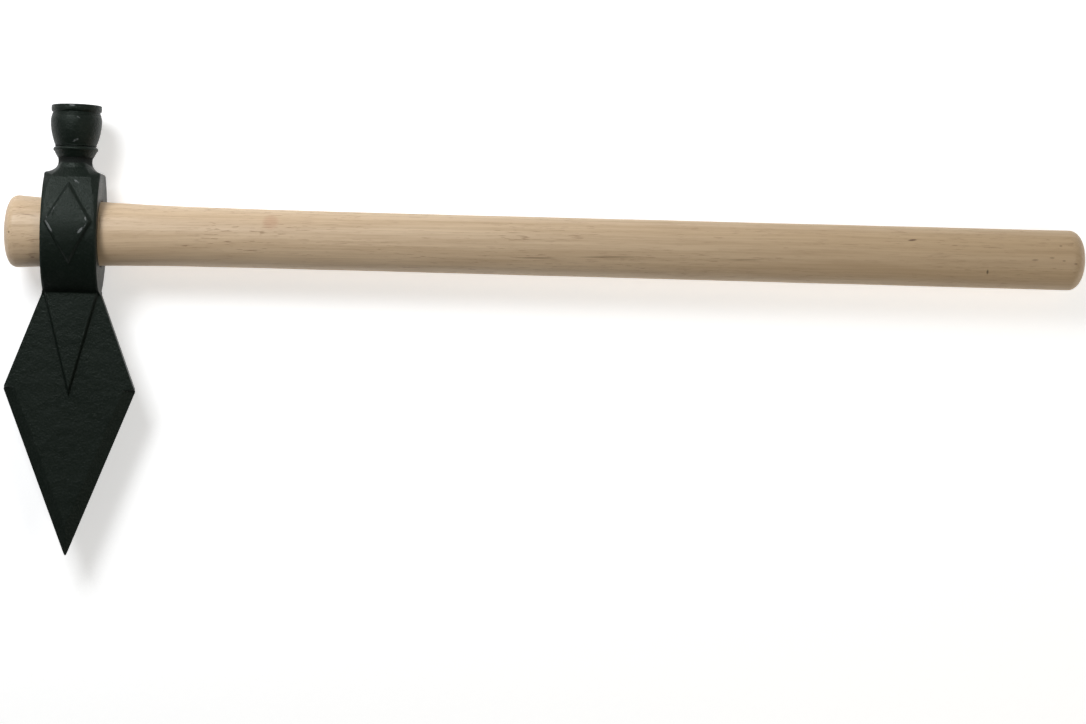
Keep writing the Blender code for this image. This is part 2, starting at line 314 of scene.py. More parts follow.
def with_arris(pairs):
    """The soft edge that the saw and the sandpaper left around the head end."""
    made = []
    for x, share in pairs:
        lift = ARRIS_RISE * math.exp(-(((x - ARRIS_PLACE) / ARRIS_WIDTH) ** 2))
        made.append((x, share + lift))
    return made


def sanded(point, middle, share):
    """The slight flats and waves that sanding leaves on a wooden handle."""
    x, y, z = point
    wave = noise.noise(Vector((x * 28, y * 60, z * 60)))
    pull = 1 - share * HAND_SANDING * (1 + wave) / math.hypot(y - middle, z)
    return (x, middle + (y - middle) * pull, z * pull)


def sanded_ring(x, share):
    return [sanded(point, handle_centre(x), share) for point in handle_ring(x, share)]


def build_handle():
    """The handle from its domed head end, over the swell and the grip, to its domed butt."""
    stations = with_arris(end_dome(*HEAD_DOME))
    stations += [(x, 1.0) for x in steps(HEAD_DOME[0], HANDLE_LENGTH - BUTT_DOME[0], 170)[1:-1]]
    stations += reversed([(HANDLE_LENGTH - x, share) for x, share in end_dome(*BUTT_DOME)])
    mesh = loft([sanded_ring(x, share) for x, share in stations])
    bmesh.ops.translate(mesh, verts=mesh.verts, vec=(HANDLE_LOW.x, AXIS_Y, AXIS_Z))
    return finish_mesh("wood_handle", mesh)


# Head


def cheek_at(height):
    """Half of the eye block's thickness at a height."""
    if height >= 0:
        return CHEEK - (CHEEK - SHOULDER) * (height / EYE_TOP) ** CHEEK_TOP_SHAPE
    share = 1 - (-height / EYE_BOTTOM) ** CHEEK_BOTTOM_SHAPE
    return CHEEK * max(share, 0.0) ** (1 / CHEEK_BOTTOM_SHAPE)


def kite_half_width(height):
    """Half of the kite's foot width. It runs on below zero past the kite's points."""
    if height > KITE_SIDE:
        return KITE_HALF * (KITE_TOP - height) / (KITE_TOP - KITE_SIDE)
    return KITE_HALF * (height - KITE_BOTTOM) / (KITE_SIDE - KITE_BOTTOM)


def wedge_half_width(height):
    """Half of the raised wedge's width, which narrows down the blade and ends in a point."""
    share = (height + WEDGE_POINT) / (WEDGE_POINT - BLADE_ROOT)
    return WEDGE_HALF * min(share, 1.0)


def blade_half_width(height):
    """Half of the blade's width, with its side corners and its tip rounded."""
    down = -height
    upper = mix(BLADE_ROOT_HALF, BLADE_CORNER_HALF, (down - BLADE_ROOT) / (BLADE_CORNER - BLADE_ROOT))
    lower = BLADE_CORNER_HALF * (BLADE_POINT - down) / (BLADE_POINT - BLADE_CORNER)
    from_middle = down - (BLADE_TIP - TIP_ROUND)
    if from_middle > TIP_ROUND * math.sin(GROUND_SLOPE):
        return math.sqrt(max(TIP_ROUND**2 - from_middle**2, 0.0))
    return (upper + lower - math.sqrt((upper - lower) ** 2 + CORNER_SOFTNESS**2)) / 2


def pad_share(distance, run):
    """How much of a pad's rise there is at a distance inside its foot line, with soft edges."""
    across = distance / run
    low = (across + math.sqrt(across**2 + PAD_SOFTNESS)) / 2
    high = (across - 1 + math.sqrt((across - 1) ** 2 + PAD_SOFTNESS)) / 2
    return low - high


def kite_rise(x, height):
    """The kite's walls slope at the same angle on its long and its short sides."""
    span = KITE_TOP - KITE_SIDE if height > KITE_SIDE else KITE_SIDE - KITE_BOTTOM
    lean = math.cos(math.atan2(KITE_HALF, span))
    return KITE_RISE * pad_share((kite_half_width(height) - abs(x)) * lean, KITE_WALL_RUN)


def wedge_rise(x, height):
    """How far the raised wedge stands out of the blade."""
    return WEDGE_RISE * pad_share(wedge_half_width(height) - abs(x), WEDGE_WALL_RUN)


def soft_larger(first, second, fillet):
    """The larger of two heights, with a fillet where they cross."""
    return (first + second + math.sqrt((first - second) ** 2 + fillet**2)) / 2


def pad_columns(foot, face_end, run):
    """The first columns of a section, gathered along a pad's wall."""
    crown = max(foot - run, 0.0)
    soft = min(foot / (2 * run), 1.0) * run / 3
    wall = [max(crown - soft, 0.0), crown + soft / 4, mix(crown, foot, 0.5), foot - soft / 4, foot + soft]
    rest = [mix(wall[-1], face_end, share) for share in (1 / 3, 2 / 3, 1.0)]
    return [0.0, *wall, *rest]


def even_columns(face_end):
    return [face_end * i / FACE_COLUMN for i in range(FACE_COLUMN + 1)]


def blend_columns(first, second, share):
    return [mix(a, b, share) for a, b in zip(first, second)]


def corner_columns(half_x, half_z, radius):
    """The rounded edge between a face and a side, then the side down to its middle."""
    points = []
    for angle in steps(0, math.pi / 2, CORNER_COLUMN - FACE_COLUMN + 1)[1:]:
        back, down = radius * (1 - math.sin(angle)), radius * (1 - math.cos(angle))
        points.append((half_x - back, half_z - down))
    return points + side_columns(half_x, half_z - radius)


def side_columns(half_x, start_z):
    """From the corner down to the side's middle."""
    shares = steps(0, 1, LAST_COLUMN - CORNER_COLUMN + 1)[1:]
    return [(half_x, mix(start_z, 0.0, share)) for share in shares]


def chamfer_columns(half_x, half_z, across, deep):
    """The block's filed upright edge, with softened corners, then the side down to its middle."""
    points = []
    for share in (0.08, 0.36, 0.64, 0.92):
        points.append((half_x - across * (1 - share), half_z - deep * share))
    start_z = half_z - deep - CHAMFER_SOFT
    return [*points, (half_x, start_z)] + side_columns(half_x, start_z)


def chamfer_size(height, low, top, growth):
    """The filed edges are wider towards the shoulder."""
    return mix(low, top, min(max(height, 0.0) / CHAMFER_TOP, 1.0) ** growth)


def block_section(height):
    """A quarter of the eye block's section: the cheek with its kite, the filed edge and the side."""
    half_x, half_z = EYE_HALF_LENGTH, cheek_at(height)
    if height < -BLADE_ROOT / 2:
        blade_face = BLADE_HALF_THICK + WEDGE_RISE
        half_z = soft_larger(half_z, min(blade_face, half_z + 0.001), JOINT_FILLET)
    across = chamfer_size(height, *CHAMFER_ACROSS)
    deep = min(chamfer_size(height, *CHAMFER_DEEP), half_z * 0.4)
    face_end = half_x - across - CHAMFER_SOFT
    foot = kite_half_width(height)
    beyond = smooth_share(max(height - KITE_TOP, KITE_BOTTOM - height), 0, KITE_FADE)
    kite_columns = pad_columns(max(foot, 0.0), face_end, KITE_WALL_RUN)
    columns = blend_columns(kite_columns, even_columns(face_end), beyond)
    if height < KITE_BOTTOM:
        near_root = smooth_share(-height, -KITE_BOTTOM + 0.006, BLADE_ROOT - 0.002)
        root_columns = pad_columns(WEDGE_HALF - across, face_end, WEDGE_WALL_RUN)
        columns = blend_columns(columns, root_columns, near_root)
    face = [(x, half_z + kite_rise(x, height)) for x in columns]
    return face + chamfer_columns(half_x, half_z, across, deep)


def blade_section(height):
    """A quarter of the blade's section above its side corners: wedge, flat and square edge."""
    half_x = blade_half_width(height)
    foot = wedge_half_width(height)
    columns = pad_columns(max(foot, 0.0), half_x - BLADE_EDGE_ROUND, WEDGE_WALL_RUN)
    face = []
    for x in columns:
        z = BLADE_HALF_THICK + wedge_rise(x, height)
        face.append((x, soft_larger(z, cheek_at(height), JOINT_FILLET)))
    return face + corner_columns(half_x, face[-1][1], BLADE_EDGE_ROUND)


def ground_section(height):
    """A quarter of the blade's section below its side corners: flat, ground bevel and thin edge."""
    half_x = blade_half_width(height)
    across = GROUND_WIDTH / math.cos(GROUND_SLOPE)
    inner = max(half_x - across, 0.0)
    ridge = mix(EDGE_HALF_THICK, BLADE_HALF_THICK, min(half_x / across, 1.0))
    foot = wedge_half_width(height)
    even = even_columns(inner)
    beyond = smooth_share(-height, WEDGE_POINT, WEDGE_POINT + 0.010)
    columns = blend_columns(pad_columns(max(foot, 0.0), inner, WEDGE_WALL_RUN), even, beyond)
    columns = [min(x, inner) for x in columns]
    face = [(x, ridge + wedge_rise(x, height)) for x in columns]
    edge_round = min(EDGE_HALF_THICK, half_x / 2)
    bevel = []
    for share in (0.04, 0.35, 0.65, 0.96):
        bevel.append((mix(inner, half_x - edge_round, share), mix(ridge, EDGE_HALF_THICK, share)))
    edge = []
    for angle in steps(math.pi / 2, 0, LAST_COLUMN - CORNER_COLUMN + 1):
        edge.append((half_x - edge_round * (1 - math.cos(angle)), EDGE_HALF_THICK * math.sin(angle)))
    return face + bevel + edge


def round_section(radius):
    """A quarter circle with as many points as the block's section."""
    angles = steps(0, math.pi / 2, LAST_COLUMN + 1)
    return [(radius * math.sin(a), radius * math.cos(a)) for a in angles]


def whole_ring(section, height):
    """A ring from a quarter section, mirrored to the other three. The height may differ by column."""
    heights = height if isinstance(height, list) else [height] * len(section)
    quarter = [(x, h, z) for (x, z), h in zip(section, heights)]
    ring = list(quarter)
    ring += [(x, h, -z) for x, h, z in reversed(quarter[:-1])]
    ring += [(-x, h, -z) for x, h, z in quarter[1:]]
    ring += [(-x, h, z) for x, h, z in reversed(quarter[1:-1])]
    return ring


def arc_profile(radius, height, size, first, last, count):
    """Radius and height along an arc about a circle's middle, angles from straight out."""
    return [(radius + size * math.cos(a), height + size * math.sin(a)) for a in steps(first, last, count)]


def bowl_profile():
    """Radius and height from the cavity's floor, over the rim and down the outside to the neck."""
    floor = RIM_TOP - CAVITY_DEPTH
    hollow = []
    for angle in steps(-math.pi / 2, 0, 9):
        radius = CAVITY_RADIUS * max(math.cos(angle), CAVITY_FLAT)
        hollow.append((radius, floor + CAVITY_FLOOR_ROUND * (1 + math.sin(angle))))
    rounding = RIM_TOP - RIM_ROUND
    hollow += [(CAVITY_RADIUS, h) for h in steps(floor + CAVITY_FLOOR_ROUND, rounding, 10)[1:]]
    hollow += arc_profile(CAVITY_RADIUS + RIM_ROUND, rounding, RIM_ROUND, math.pi, math.pi / 2, 6)
    rim = [(mix(CAVITY_RADIUS, RIM_RADIUS, 0.5), RIM_TOP)]
    rim += arc_profile(RIM_RADIUS - RIM_ROUND, rounding, RIM_ROUND, math.pi / 2, 0.3, 6)
    rim += rim_band()
    return hollow + rim + rim_groove() + belly_profile() + neck_profile()


def rim_band():
    """The band around the rim swells a little and draws in at its foot."""
    foot = RIM_TOP - RIM_BAND
    made = []
    for share in steps(0, 1, 7):
        swell = RIM_BULGE * (math.sin(math.pi * (0.25 + 0.75 * share)) - 0.7)
        made.append((RIM_RADIUS - RIM_BULGE * 0.3 + swell, mix(RIM_TOP - 1.6 * RIM_ROUND, foot, share)))
    return made


def rim_groove():
    """The groove between the rim and the belly."""
    middle = RIM_TOP - RIM_BAND - RIM_GROOVE_WIDTH / 2
    made = []
    for share in steps(-0.8, 0.8, 9):
        depth = RIM_GROOVE * math.cos(share * math.pi / 2) ** 0.8
        made.append((RIM_RADIUS - RIM_BULGE - depth, middle - share * RIM_GROOVE_WIDTH / 2))
    return made


def belly_profile():
    """From the groove's lower lip and a fine turned line, out over the belly and in to its foot."""
    top = RIM_TOP - RIM_BAND - RIM_GROOVE_WIDTH
    lip = [(BELLY_RADIUS - BELLY_LIP - inwards, top - down) for inwards, down in LIP_LINE]
    belly = []
    for height in steps(top - 0.0014, BELLY_FOOT_HEIGHT + 0.0005, 22):
        share = max(BELLY_HEIGHT - height, 0) / (BELLY_HEIGHT - BELLY_FOOT_HEIGHT)
        near_lip = BELLY_LIP * smooth_share(height, BELLY_HEIGHT, top)
        belly.append((BELLY_RADIUS - near_lip - (BELLY_RADIUS - BELLY_FOOT_RADIUS) * share**2, height))
    ring = arc_profile(BELLY_FOOT_RADIUS - 0.00005, BELLY_FOOT_HEIGHT - 0.0001, FOOT_RING, 1.2, -1.3, 6)
    return lip + belly + ring


def neck_profile():
    """The bead, the cone below it, one fine groove and the neck."""
    groove_radius = BELLY_FOOT_RADIUS - FOOT_RING
    bead = [(groove_radius, BELLY_FOOT_HEIGHT - 2 * FOOT_RING), (groove_radius, BELLY_FOOT_HEIGHT - 0.0008)]
    bead += arc_profile(BEAD_RADIUS - BEAD_ROUND, BEAD_HEIGHT, BEAD_ROUND, 1.15, -1.0, 12)
    groove = []
    for share in steps(-1, 1, 7):
        radius = NECK_RADIUS + 0.0003 - 0.0001 * share
        depth = NECK_GROOVE * math.cos(share * math.pi / 2)
        groove.append((radius - depth, NECK_GROOVE_HEIGHT - share * NECK_GROOVE_HALF))
    waist = [(NECK_RADIUS + outwards, height) for outwards, height in WAIST]
    return bead + [*CONE] + groove + waist


def frontness(column):
    """1 on the cheek, 0 on the side, and between them on the filed edge."""
    return 1 - smooth_share(column, FACE_COLUMN - 1, CORNER_COLUMN)


def by_column(side, front):
    """A value for every column, turning from the cheek's to the side's."""
    return [mix(side, front, frontness(column)) for column in range(LAST_COLUMN + 1)]


def block_points(heights, side_inset=0.0):
    """The block's section with its own height for every column."""
    points = []
    for column, height in enumerate(heights):
        x, z = block_section(height)[column]
        points.append((x - side_inset * (1 - frontness(column)), z))
    return points


def front_spread(fall):
    """How far the flare has spread over the cheek: a gentle slope, then a steep one."""
    for (start, low), (end, high) in zip(FRONT_TURNS, FRONT_TURNS[1:]):
        if fall <= end:
            return mix(low, high, (fall - start) / (end - start))
    return 1.0


def flare_rings():
    """From the round neck out to the shoulder's edge."""
    rings = []
    side_edge = EYE_TOP - SIDE_ROUND * (1 - math.cos(SHOULDER_SLOPE))
    edge = by_column(side_edge, FRONT_EDGE)
    start = by_column(NECK_HEIGHT, FRONT_START)
    outer = block_points(edge, SIDE_ROUND * (1 - math.sin(SHOULDER_SLOPE)))
    neck = round_section(NECK_RADIUS)
    last = math.pi / 2 - SHOULDER_SLOPE
    turns = [fall for fall, _ in FRONT_TURNS[2:]]
    falls = sorted(steps(0.02, 0.98, 20) + turns + [0.995])
    for fall in falls:
        angle = math.asin(fall * math.sin(last))
        spreads = by_column((1 - math.cos(angle)) / (1 - math.cos(last)), front_spread(fall))
        heights = [mix(high, low, fall) for high, low in zip(start, edge)]
        section = [(mix(a, c, s), mix(b, d, s)) for (a, b), (c, d), s in zip(neck, outer, spreads)]
        rings.append(whole_ring(section, heights))
    return rings


def shoulder_rings():
    """The shoulder rounds over the sides, while over the cheeks it only has a soft edge."""
    rings = []
    for angle in steps(SHOULDER_SLOPE, math.pi / 2, 8)[1:]:
        side = EYE_TOP - SIDE_ROUND * (1 - math.cos(angle))
        front = FRONT_EDGE - FRONT_EDGE_SOFT * (1 - math.cos(angle))
        heights = by_column(side, front)
        rings.append(whole_ring(block_points(heights, SIDE_ROUND * (1 - math.sin(angle))), heights))
    return rings


def block_ring(height):
    """The cheeks' columns start lower than the sides' and catch up at the kite's top."""
    first, last = EYE_TOP - SIDE_ROUND, KITE_TOP + 0.0004
    share = min(max((height - last) / (first - last), 0.0), 1.0)
    drop = share * (first - FRONT_EDGE + FRONT_EDGE_SOFT)
    heights = by_column(height, height - drop)
    return [leaned(point) for point in whole_ring(block_points(heights), heights)]


def leaned(point):
    """The kite was struck a little out of line, while the sides stay where they are."""
    x, height, z = point
    shift = KITE_LEAN * (height - KITE_SQUARE)
    shift *= 1 - smooth_share(height, KITE_TOP, FRONT_EDGE - FRONT_EDGE_SOFT)
    shift *= smooth_share(height, KITE_BOTTOM - LEAN_FADE, KITE_BOTTOM)
    return (x + shift * (1 - min(abs(x) / EYE_HALF_LENGTH, 1.0) ** 2), height, z)


def block_heights():
    """Even steps down the block, with closer ones around the kite's corners."""
    marks = [KITE_TOP + step for step in (0.0006, 0.0, -0.0010)]
    marks += [KITE_SIDE + step for step in (0.0008, 0.0, -0.0008)]
    marks += [KITE_BOTTOM + step for step in (0.0010, 0.0, -0.0006)]
    plain = steps(EYE_TOP - SIDE_ROUND - 0.0005, -BLADE_ROOT + 0.0014, 54)
    kept = [h for h in plain if min(abs(h - mark) for mark in marks) > 0.0004]
    return sorted(kept + marks, reverse=True)


def blade_heights():
    """Close steps at the root, then even ones down to the side corners."""
    near = (0.0010, 0.0006, 0.0003, 0.0, -0.0003, -0.0006, -0.0010, -0.0016)
    near_root = [-BLADE_ROOT + step for step in near]
    plain = steps(-BLADE_ROOT - 0.0026, -BLADE_CORNER + GROUND_WIDTH / 4, 26)
    return near_root + plain


def ground_heights():
    """Closer steps at the side corners, the wedge's point, the ridge's start and the tip."""
    ridge_start = -BLADE_POINT + GROUND_WIDTH / math.sin(GROUND_SLOPE)
    near_corner = [-BLADE_CORNER + step for step in (0.0003, 0.0, -0.0003, -0.0012)]
    wedge_tip = [-WEDGE_POINT + step for step in (0.0012, 0.0004, -0.0004)]
    plain = steps(-WEDGE_POINT - 0.0015, ridge_start + 0.0004, 26) + [ridge_start, ridge_start - 0.0004]
    around_tip = [TIP_ROUND * (1 - math.sin(angle)) - BLADE_TIP for angle in steps(GROUND_SLOPE, TIP_END, 4)]
    point = steps(ridge_start - 0.0015, around_tip[0], 12)
    return near_corner + wedge_tip + plain + point + around_tip[1:]


def head_rings():
    rings = [whole_ring(round_section(radius), height) for radius, height in bowl_profile()]
    rings += flare_rings() + shoulder_rings()
    rings += [block_ring(height) for height in block_heights()]
    rings += [whole_ring(blade_section(height), height) for height in blade_heights()]
    rings += [whole_ring(ground_section(height), height) for height in ground_heights()]
    return rings


def eye_cutter():
    """The handle's tapered oval, one clearance larger, opening out at both mouths."""
    rings = []
    for side in (-1, 1):
        mouth = []
        for angle in steps(0, math.pi / 2, 6):
            place = EYE_HALF_LENGTH - MOUTH_ROUND * (1 - math.sin(angle))
            mouth.append((side * place, EYE_CLEARANCE + MOUTH_ROUND * (1 - math.cos(angle))))
        mouth.append((side * (EYE_HALF_LENGTH + MOUTH_OVERSHOOT), EYE_CLEARANCE + 2 * MOUTH_ROUND))
        rings += reversed(mouth) if side < 0 else mouth
        if side < 0:
            inside = steps(-EYE_HALF_LENGTH + MOUTH_ROUND, EYE_HALF_LENGTH - MOUTH_ROUND, 9)[1:-1]
            rings += [(place, EYE_CLEARANCE) for place in inside]
    ovals = []
    for place, growth in rings:
        oval = handle_ring(EYE_CENTRE + place, growth=growth)
        ovals.append([(place, y, z) for _, y, z in oval])
    return finish_mesh("eye_cutter", loft(ovals))


def screw_cutter():
    """The set screw's hole through the lower cheek, opening out at its mouth."""
    height = SCREW_Y - AXIS_Y
    radius = SCREW_RADIUS + SCREW_CLEARANCE
    deep = -(CHEEK + KITE_RISE)
    profile = [(radius + 2 * SCREW_MOUTH, deep - SCREW_CHAMFER), (radius + SCREW_MOUTH, deep)]
    profile += [(radius, deep + SCREW_CHAMFER), (radius, 0.0)]
    rings = []
    for size, z in profile:
        turns = steps(0, 2 * math.pi, 49)[:-1]
        rings.append([(size * math.cos(a), height + size * math.sin(a), z) for a in turns])
    return finish_mesh("screw_cutter", loft(rings))


def inside_bowl(x, height, z):
    """How sooty the bowl is: not at its rim, and fully from SOOT_DEPTH down."""
    within = math.hypot(x, z) < CAVITY_RADIUS + RIM_ROUND / 2
    return smooth_share(RIM_TOP - height, 0.0, SOOT_DEPTH) if within and height > EYE_TOP else 0.0


def store_point_values(target, name, rule):
    """Keeps a rule's value at each point, for the material to read."""
    values = target.data.attributes.new(name, "FLOAT", "POINT")
    for vertex, value in zip(target.data.vertices, values.data):
        value.value = rule(vertex.co.x - HEAD_X, vertex.co.y - AXIS_Y, vertex.co.z - AXIS_Z)


def build_head():
    """The forging, with the eye and the screw's hole cut through it."""
    head = finish_mesh("forged_head", loft(head_rings()))
    cut(head, [eye_cutter(), screw_cutter()])
    head.data.transform(Matrix.Translation((HEAD_X, AXIS_Y, AXIS_Z)))
    store_point_values(head, "soot", inside_bowl)
    even_shading(head, math.radians(50))
    return head


# Set screw


def socket_radius(angle):
    """From the middle of a hexagon to its side, at an angle."""
    within = (angle + math.pi / 6) % (math.pi / 3) - math.pi / 6
    return SOCKET_FLATS / 2 / math.cos(within)


def thread_radius(angle, from_face):
    """The thread starts at full depth a little behind the screw's chamfered face."""
    phase = (from_face / SCREW_PITCH - angle / (2 * math.pi)) % 1.0
    ends = smooth_share(from_face, 0.0, SCREW_CHAMFER)
    return SCREW_RADIUS - THREAD_DEPTH * ends * (1 - abs(2 * phase - 1)) - (1 - ends) * THREAD_DEPTH


def screw_ring(z, radius_at):
    """A ring around the screw's axis, its radius given by a rule of the angle."""
    turns = steps(0, 2 * math.pi, SCREW_SIDES + 1)[:-1]
    return [(radius_at(a) * math.cos(a), radius_at(a) * math.sin(a), z) for a in turns]


def build_screw():
    """A headless screw with a cut thread, a cupped point and a hexagon socket in its lower end."""
    face, point = SCREW_LOW.z, SCREW_HIGH.z
    bottom = face + SOCKET_DEPTH
    rings = []
    for size, z in ((0.86, bottom), (1.0, bottom - 0.0003), (1.0, face + 0.0002), (SOCKET_CHAMFER, face)):
        rings.append(screw_ring(z, lambda angle: size * socket_radius(angle)))
    for z in steps(face, point - SCREW_POINT, 45):
        rings.append(screw_ring(z, lambda angle: thread_radius(angle, z - face)))
    for radius, z in ((SCREW_RADIUS - SCREW_POINT, point), (0.0009, point - 0.0005)):
        rings.append(screw_ring(z, lambda angle: radius))
    mesh = loft(rings)
    bmesh.ops.translate(mesh, verts=mesh.verts, vec=(HEAD_X, SCREW_Y, 0))
    screw = finish_mesh("socket_screw", mesh, merge=1e-6)
    even_shading(screw, math.radians(40))
    return screw


# Materials


class Shader:
    """Short calls for building one material's nodes."""

    def __init__(self, name):
        self.material = bpy.data.materials.new(name)
        self.material.use_nodes = True
        self.tree = self.material.node_tree
        self.surface = self.tree.nodes["Principled BSDF"]

    def feed(self, socket, value):
        if isinstance(value, bpy.types.NodeSocket):
            self.tree.links.new(value, socket)
        else:
            socket.default_value = value

    def node(self, kind, values=(), **settings):
        made = self.tree.nodes.new(kind)
        for name, value in settings.items():
            setattr(made, name, value)
        for name, value in dict(values).items():
            self.feed(made.inputs[name], value)
        return made

    def place(self):
        return self.node("ShaderNodeTexCoord").outputs["Object"]

    def value(self, name):
        return self.node("ShaderNodeAttribute", attribute_name=name).outputs["Fac"]

    def math(self, operation, first, second=0.0, clamp=False):
        values = {0: first, 1: second}
        return self.node("ShaderNodeMath", values, operation=operation, use_clamp=clamp).outputs[0]

    def vector(self, operation, first, second):
        return self.node("ShaderNodeVectorMath", {0: first, 1: second}, operation=operation).outputs[0]

    def parts(self, vector):
        return self.node("ShaderNodeSeparateXYZ", {0: vector}).outputs

    def noise(self, vector, scale, detail=3.0, roughness=0.5):
        values = {"Vector": vector, "Scale": scale, "Detail": detail, "Roughness": roughness}
        return self.node("ShaderNodeTexNoise", values).outputs[0]

    def cells(self, vector, scale):
        values = {"Vector": vector, "Scale": scale}
        return self.node("ShaderNodeTexVoronoi", values).outputs["Distance"]

    def span(self, value, low, high, start=0.0, end=1.0):
        """Turns low to high into start to end, held at both."""
        values = {"Value": value, "From Min": low, "From Max": high, "To Min": start, "To Max": end}
        return self.node("ShaderNodeMapRange", values, interpolation_type="SMOOTHSTEP").outputs[0]

    def mix(self, share, first, second, blend="MIX"):
        made = self.node("ShaderNodeMix", data_type="RGBA", blend_type=blend)
        self.feed(made.inputs["Factor"], share)
        self.feed(made.inputs[6], first)
        self.feed(made.inputs[7], second)
        return made.outputs[2]

    def bump(self, height, distance, normal=None):
        made = self.node("ShaderNodeBump", {"Height": height, "Distance": distance, "Strength": 1.0})
        if normal:
            self.feed(made.inputs["Normal"], normal)
        return made.outputs[0]

    def set(self, **values):
        for name, value in values.items():
            self.feed(self.surface.inputs[name.replace("_", " ")], value)


# Rubbed spots on the upper side; the spot on the rim's top edge is partly rubbed paint and partly a painted
# highlight.
SCUFFS_AND_GLINT = (  # x and height from the head's middle, half sizes, tilt, strength
    ((-0.0097, 0.0023), (0.0029, 0.0017), -1.42, 1.0),
    ((-0.0110, 0.0068), (0.0007, 0.0012), 0.0, 0.7),
    ((-0.0073, 0.0117), (0.0007, 0.0007), 1.5, 0.7),
    ((-0.0080, 0.0102), (0.0005, 0.0006), 1.5, 0.7),
    ((-0.0024, 0.0198), (0.0005, 0.0008), 1.5, 0.6),
    ((0.0091, 0.0065), (0.0008, 0.0016), -1.0, 0.9),
    ((0.0090, 0.0030), (0.0012, 0.0012), 1.5, 0.6),
    ((0.0066, 0.0004), (0.0021, 0.0015), 0.9, 0.9),
    ((0.0028, 0.0260), (0.0021, 0.0009), -0.5, 0.7),
    ((0.0040, 0.0251), (0.0009, 0.0009), -0.6, 0.6),
    ((0.0056, 0.0213), (0.0008, 0.0014), -1.0, 0.5),
    ((-0.0018, 0.0575), (0.0018, 0.0026), 0.0, 0.36),
    ((0.0030, 0.0589), (0.0019, 0.0009), -0.4, 0.60),
    ((0.0016, 0.0472), (0.0028, 0.0011), 0.4, 0.60),
    # Painted highlight on the rim's top edge, where the paint is also partly rubbed through.
    ((-0.0003, 0.0650), (0.0024, 0.0006), -0.05, 1.0),
    ((-0.0010, 0.0353), (0.0022, 0.0014), 0.0, 0.18),
)


def scuffs_and_glint(s, place):
    """How far the paint is rubbed through on the upper side, in ragged spots, with a painted highlight on
    the rim's top edge.
    """
    ragged = s.noise(place, 2000, detail=3.0, roughness=0.6)
    total = 0.0
    for (x, height), size, tilt, strength in SCUFFS_AND_GLINT:
        mask = spot(s, place, (HEAD_X + x, AXIS_Y + height), size, tilt)
        total = s.math("MAXIMUM", total, s.math("MULTIPLY", mask, strength))
    return s.span(s.math("MULTIPLY", total, ragged), 0.20, 0.46)


def paint_material():
    """Satin black paint over a forging: fine pebbling, a slow unevenness, rubbed spots and a painted
    highlight on the rim's top edge.
    """
    s = Shader("black_paint")
    place = s.place()
    pebbles = s.noise(place, 950, detail=3.5, roughness=0.65)
    grains = s.cells(place, 1300)
    swell = s.noise(place, 170, detail=2.0)
    cloud = s.noise(place, 45, detail=3.0)
    soot = s.value("soot")
    rubbed_and_glint = scuffs_and_glint(s, place)
    tone = s.mix(cloud, (0.0048, 0.0084, 0.0058, 1), (0.0070, 0.0114, 0.0084, 1))
    tone = s.mix(s.span(pebbles, 0.45, 0.75), tone, (0.012, 0.0165, 0.014, 1))
    # Light grey where the paint is rubbed through, and as a painted highlight on the rim's top edge.
    tone = s.mix(s.math("MULTIPLY", rubbed_and_glint, 0.70), tone, (0.24, 0.25, 0.25, 1))
    tone = s.mix(s.math("MULTIPLY", soot, 0.8), tone, (0.004, 0.004, 0.004, 1))
    rough = s.span(cloud, 0.3, 0.7, 0.38, 0.46)
    rough = s.math("ADD", rough, s.math("MULTIPLY", soot, 0.35))
    rough = s.math("ADD", rough, s.math("MULTIPLY", rubbed_and_glint, 0.12), clamp=True)
    normal = s.bump(swell, 0.00035)
    height = s.math("ADD", pebbles, s.math("MULTIPLY", grains, 0.4))
    normal = s.bump(height, 0.00026, normal)
    s.set(Base_Color=tone, Roughness=rough, Normal=normal)
    s.surface.inputs["Specular IOR Level"].default_value = 0.19
    s.surface.inputs["Specular Tint"].default_value = (0.90, 1.0, 0.91, 1)
    return s.material


RUNOUT = 0.008
RUNOUT_REACH = 0.10
WOOD_MARKS = (  # place, half sizes, tilt, strength, colour
    ((0.1887, 0.0579), (0.0028, 0.0006), 0.10, 0.90, (0.09, 0.035, 0.02)),
    ((0.2277, 0.0426), (0.0007, 0.0016), 0.0, 0.85, (0.13, 0.09, 0.05)),
    ((-0.0040, 0.0436), (0.0130, 0.0006), 0.02, 0.60, (0.20, 0.11, 0.06)),
    ((0.0320, 0.0450), (0.0180, 0.0005), 0.03, 0.60, (0.22, 0.13, 0.07)),
    ((0.1023, 0.0454), (0.0110, 0.0006), 0.02, 0.50, (0.26, 0.16, 0.09)),
    ((-0.1415, 0.0583), (0.0050, 0.0050), 0.0, 0.45, (0.50, 0.25, 0.15)),
    ((0.2605, 0.0506), (0.0016, 0.0006), 0.0, 0.60, (0.22, 0.12, 0.07)),
    ((0.2667, 0.0492), (0.0012, 0.0006), 0.0, 0.60, (0.22, 0.12, 0.07)),
    ((0.2650, 0.0569), (0.0010, 0.0006), 0.0, 0.60, (0.22, 0.12, 0.07)),
    ((0.2518, 0.0493), (0.0022, 0.0007), 0.05, 0.55, (0.22, 0.12, 0.07)),
    ((0.2729, 0.0478), (0.0012, 0.0006), 0.0, 0.55, (0.22, 0.12, 0.07)),
    ((-0.2752, 0.0496), (0.0007, 0.0008), 0.0, 0.80, (0.14, 0.07, 0.04)),
    ((-0.2665, 0.0588), (0.0068, 0.0003), -0.09, 0.70, (0.26, 0.15, 0.09)),
    ((-0.2635, 0.0371), (0.0014, 0.0005), 0.0, 0.70, (0.30, 0.12, 0.07)),
)


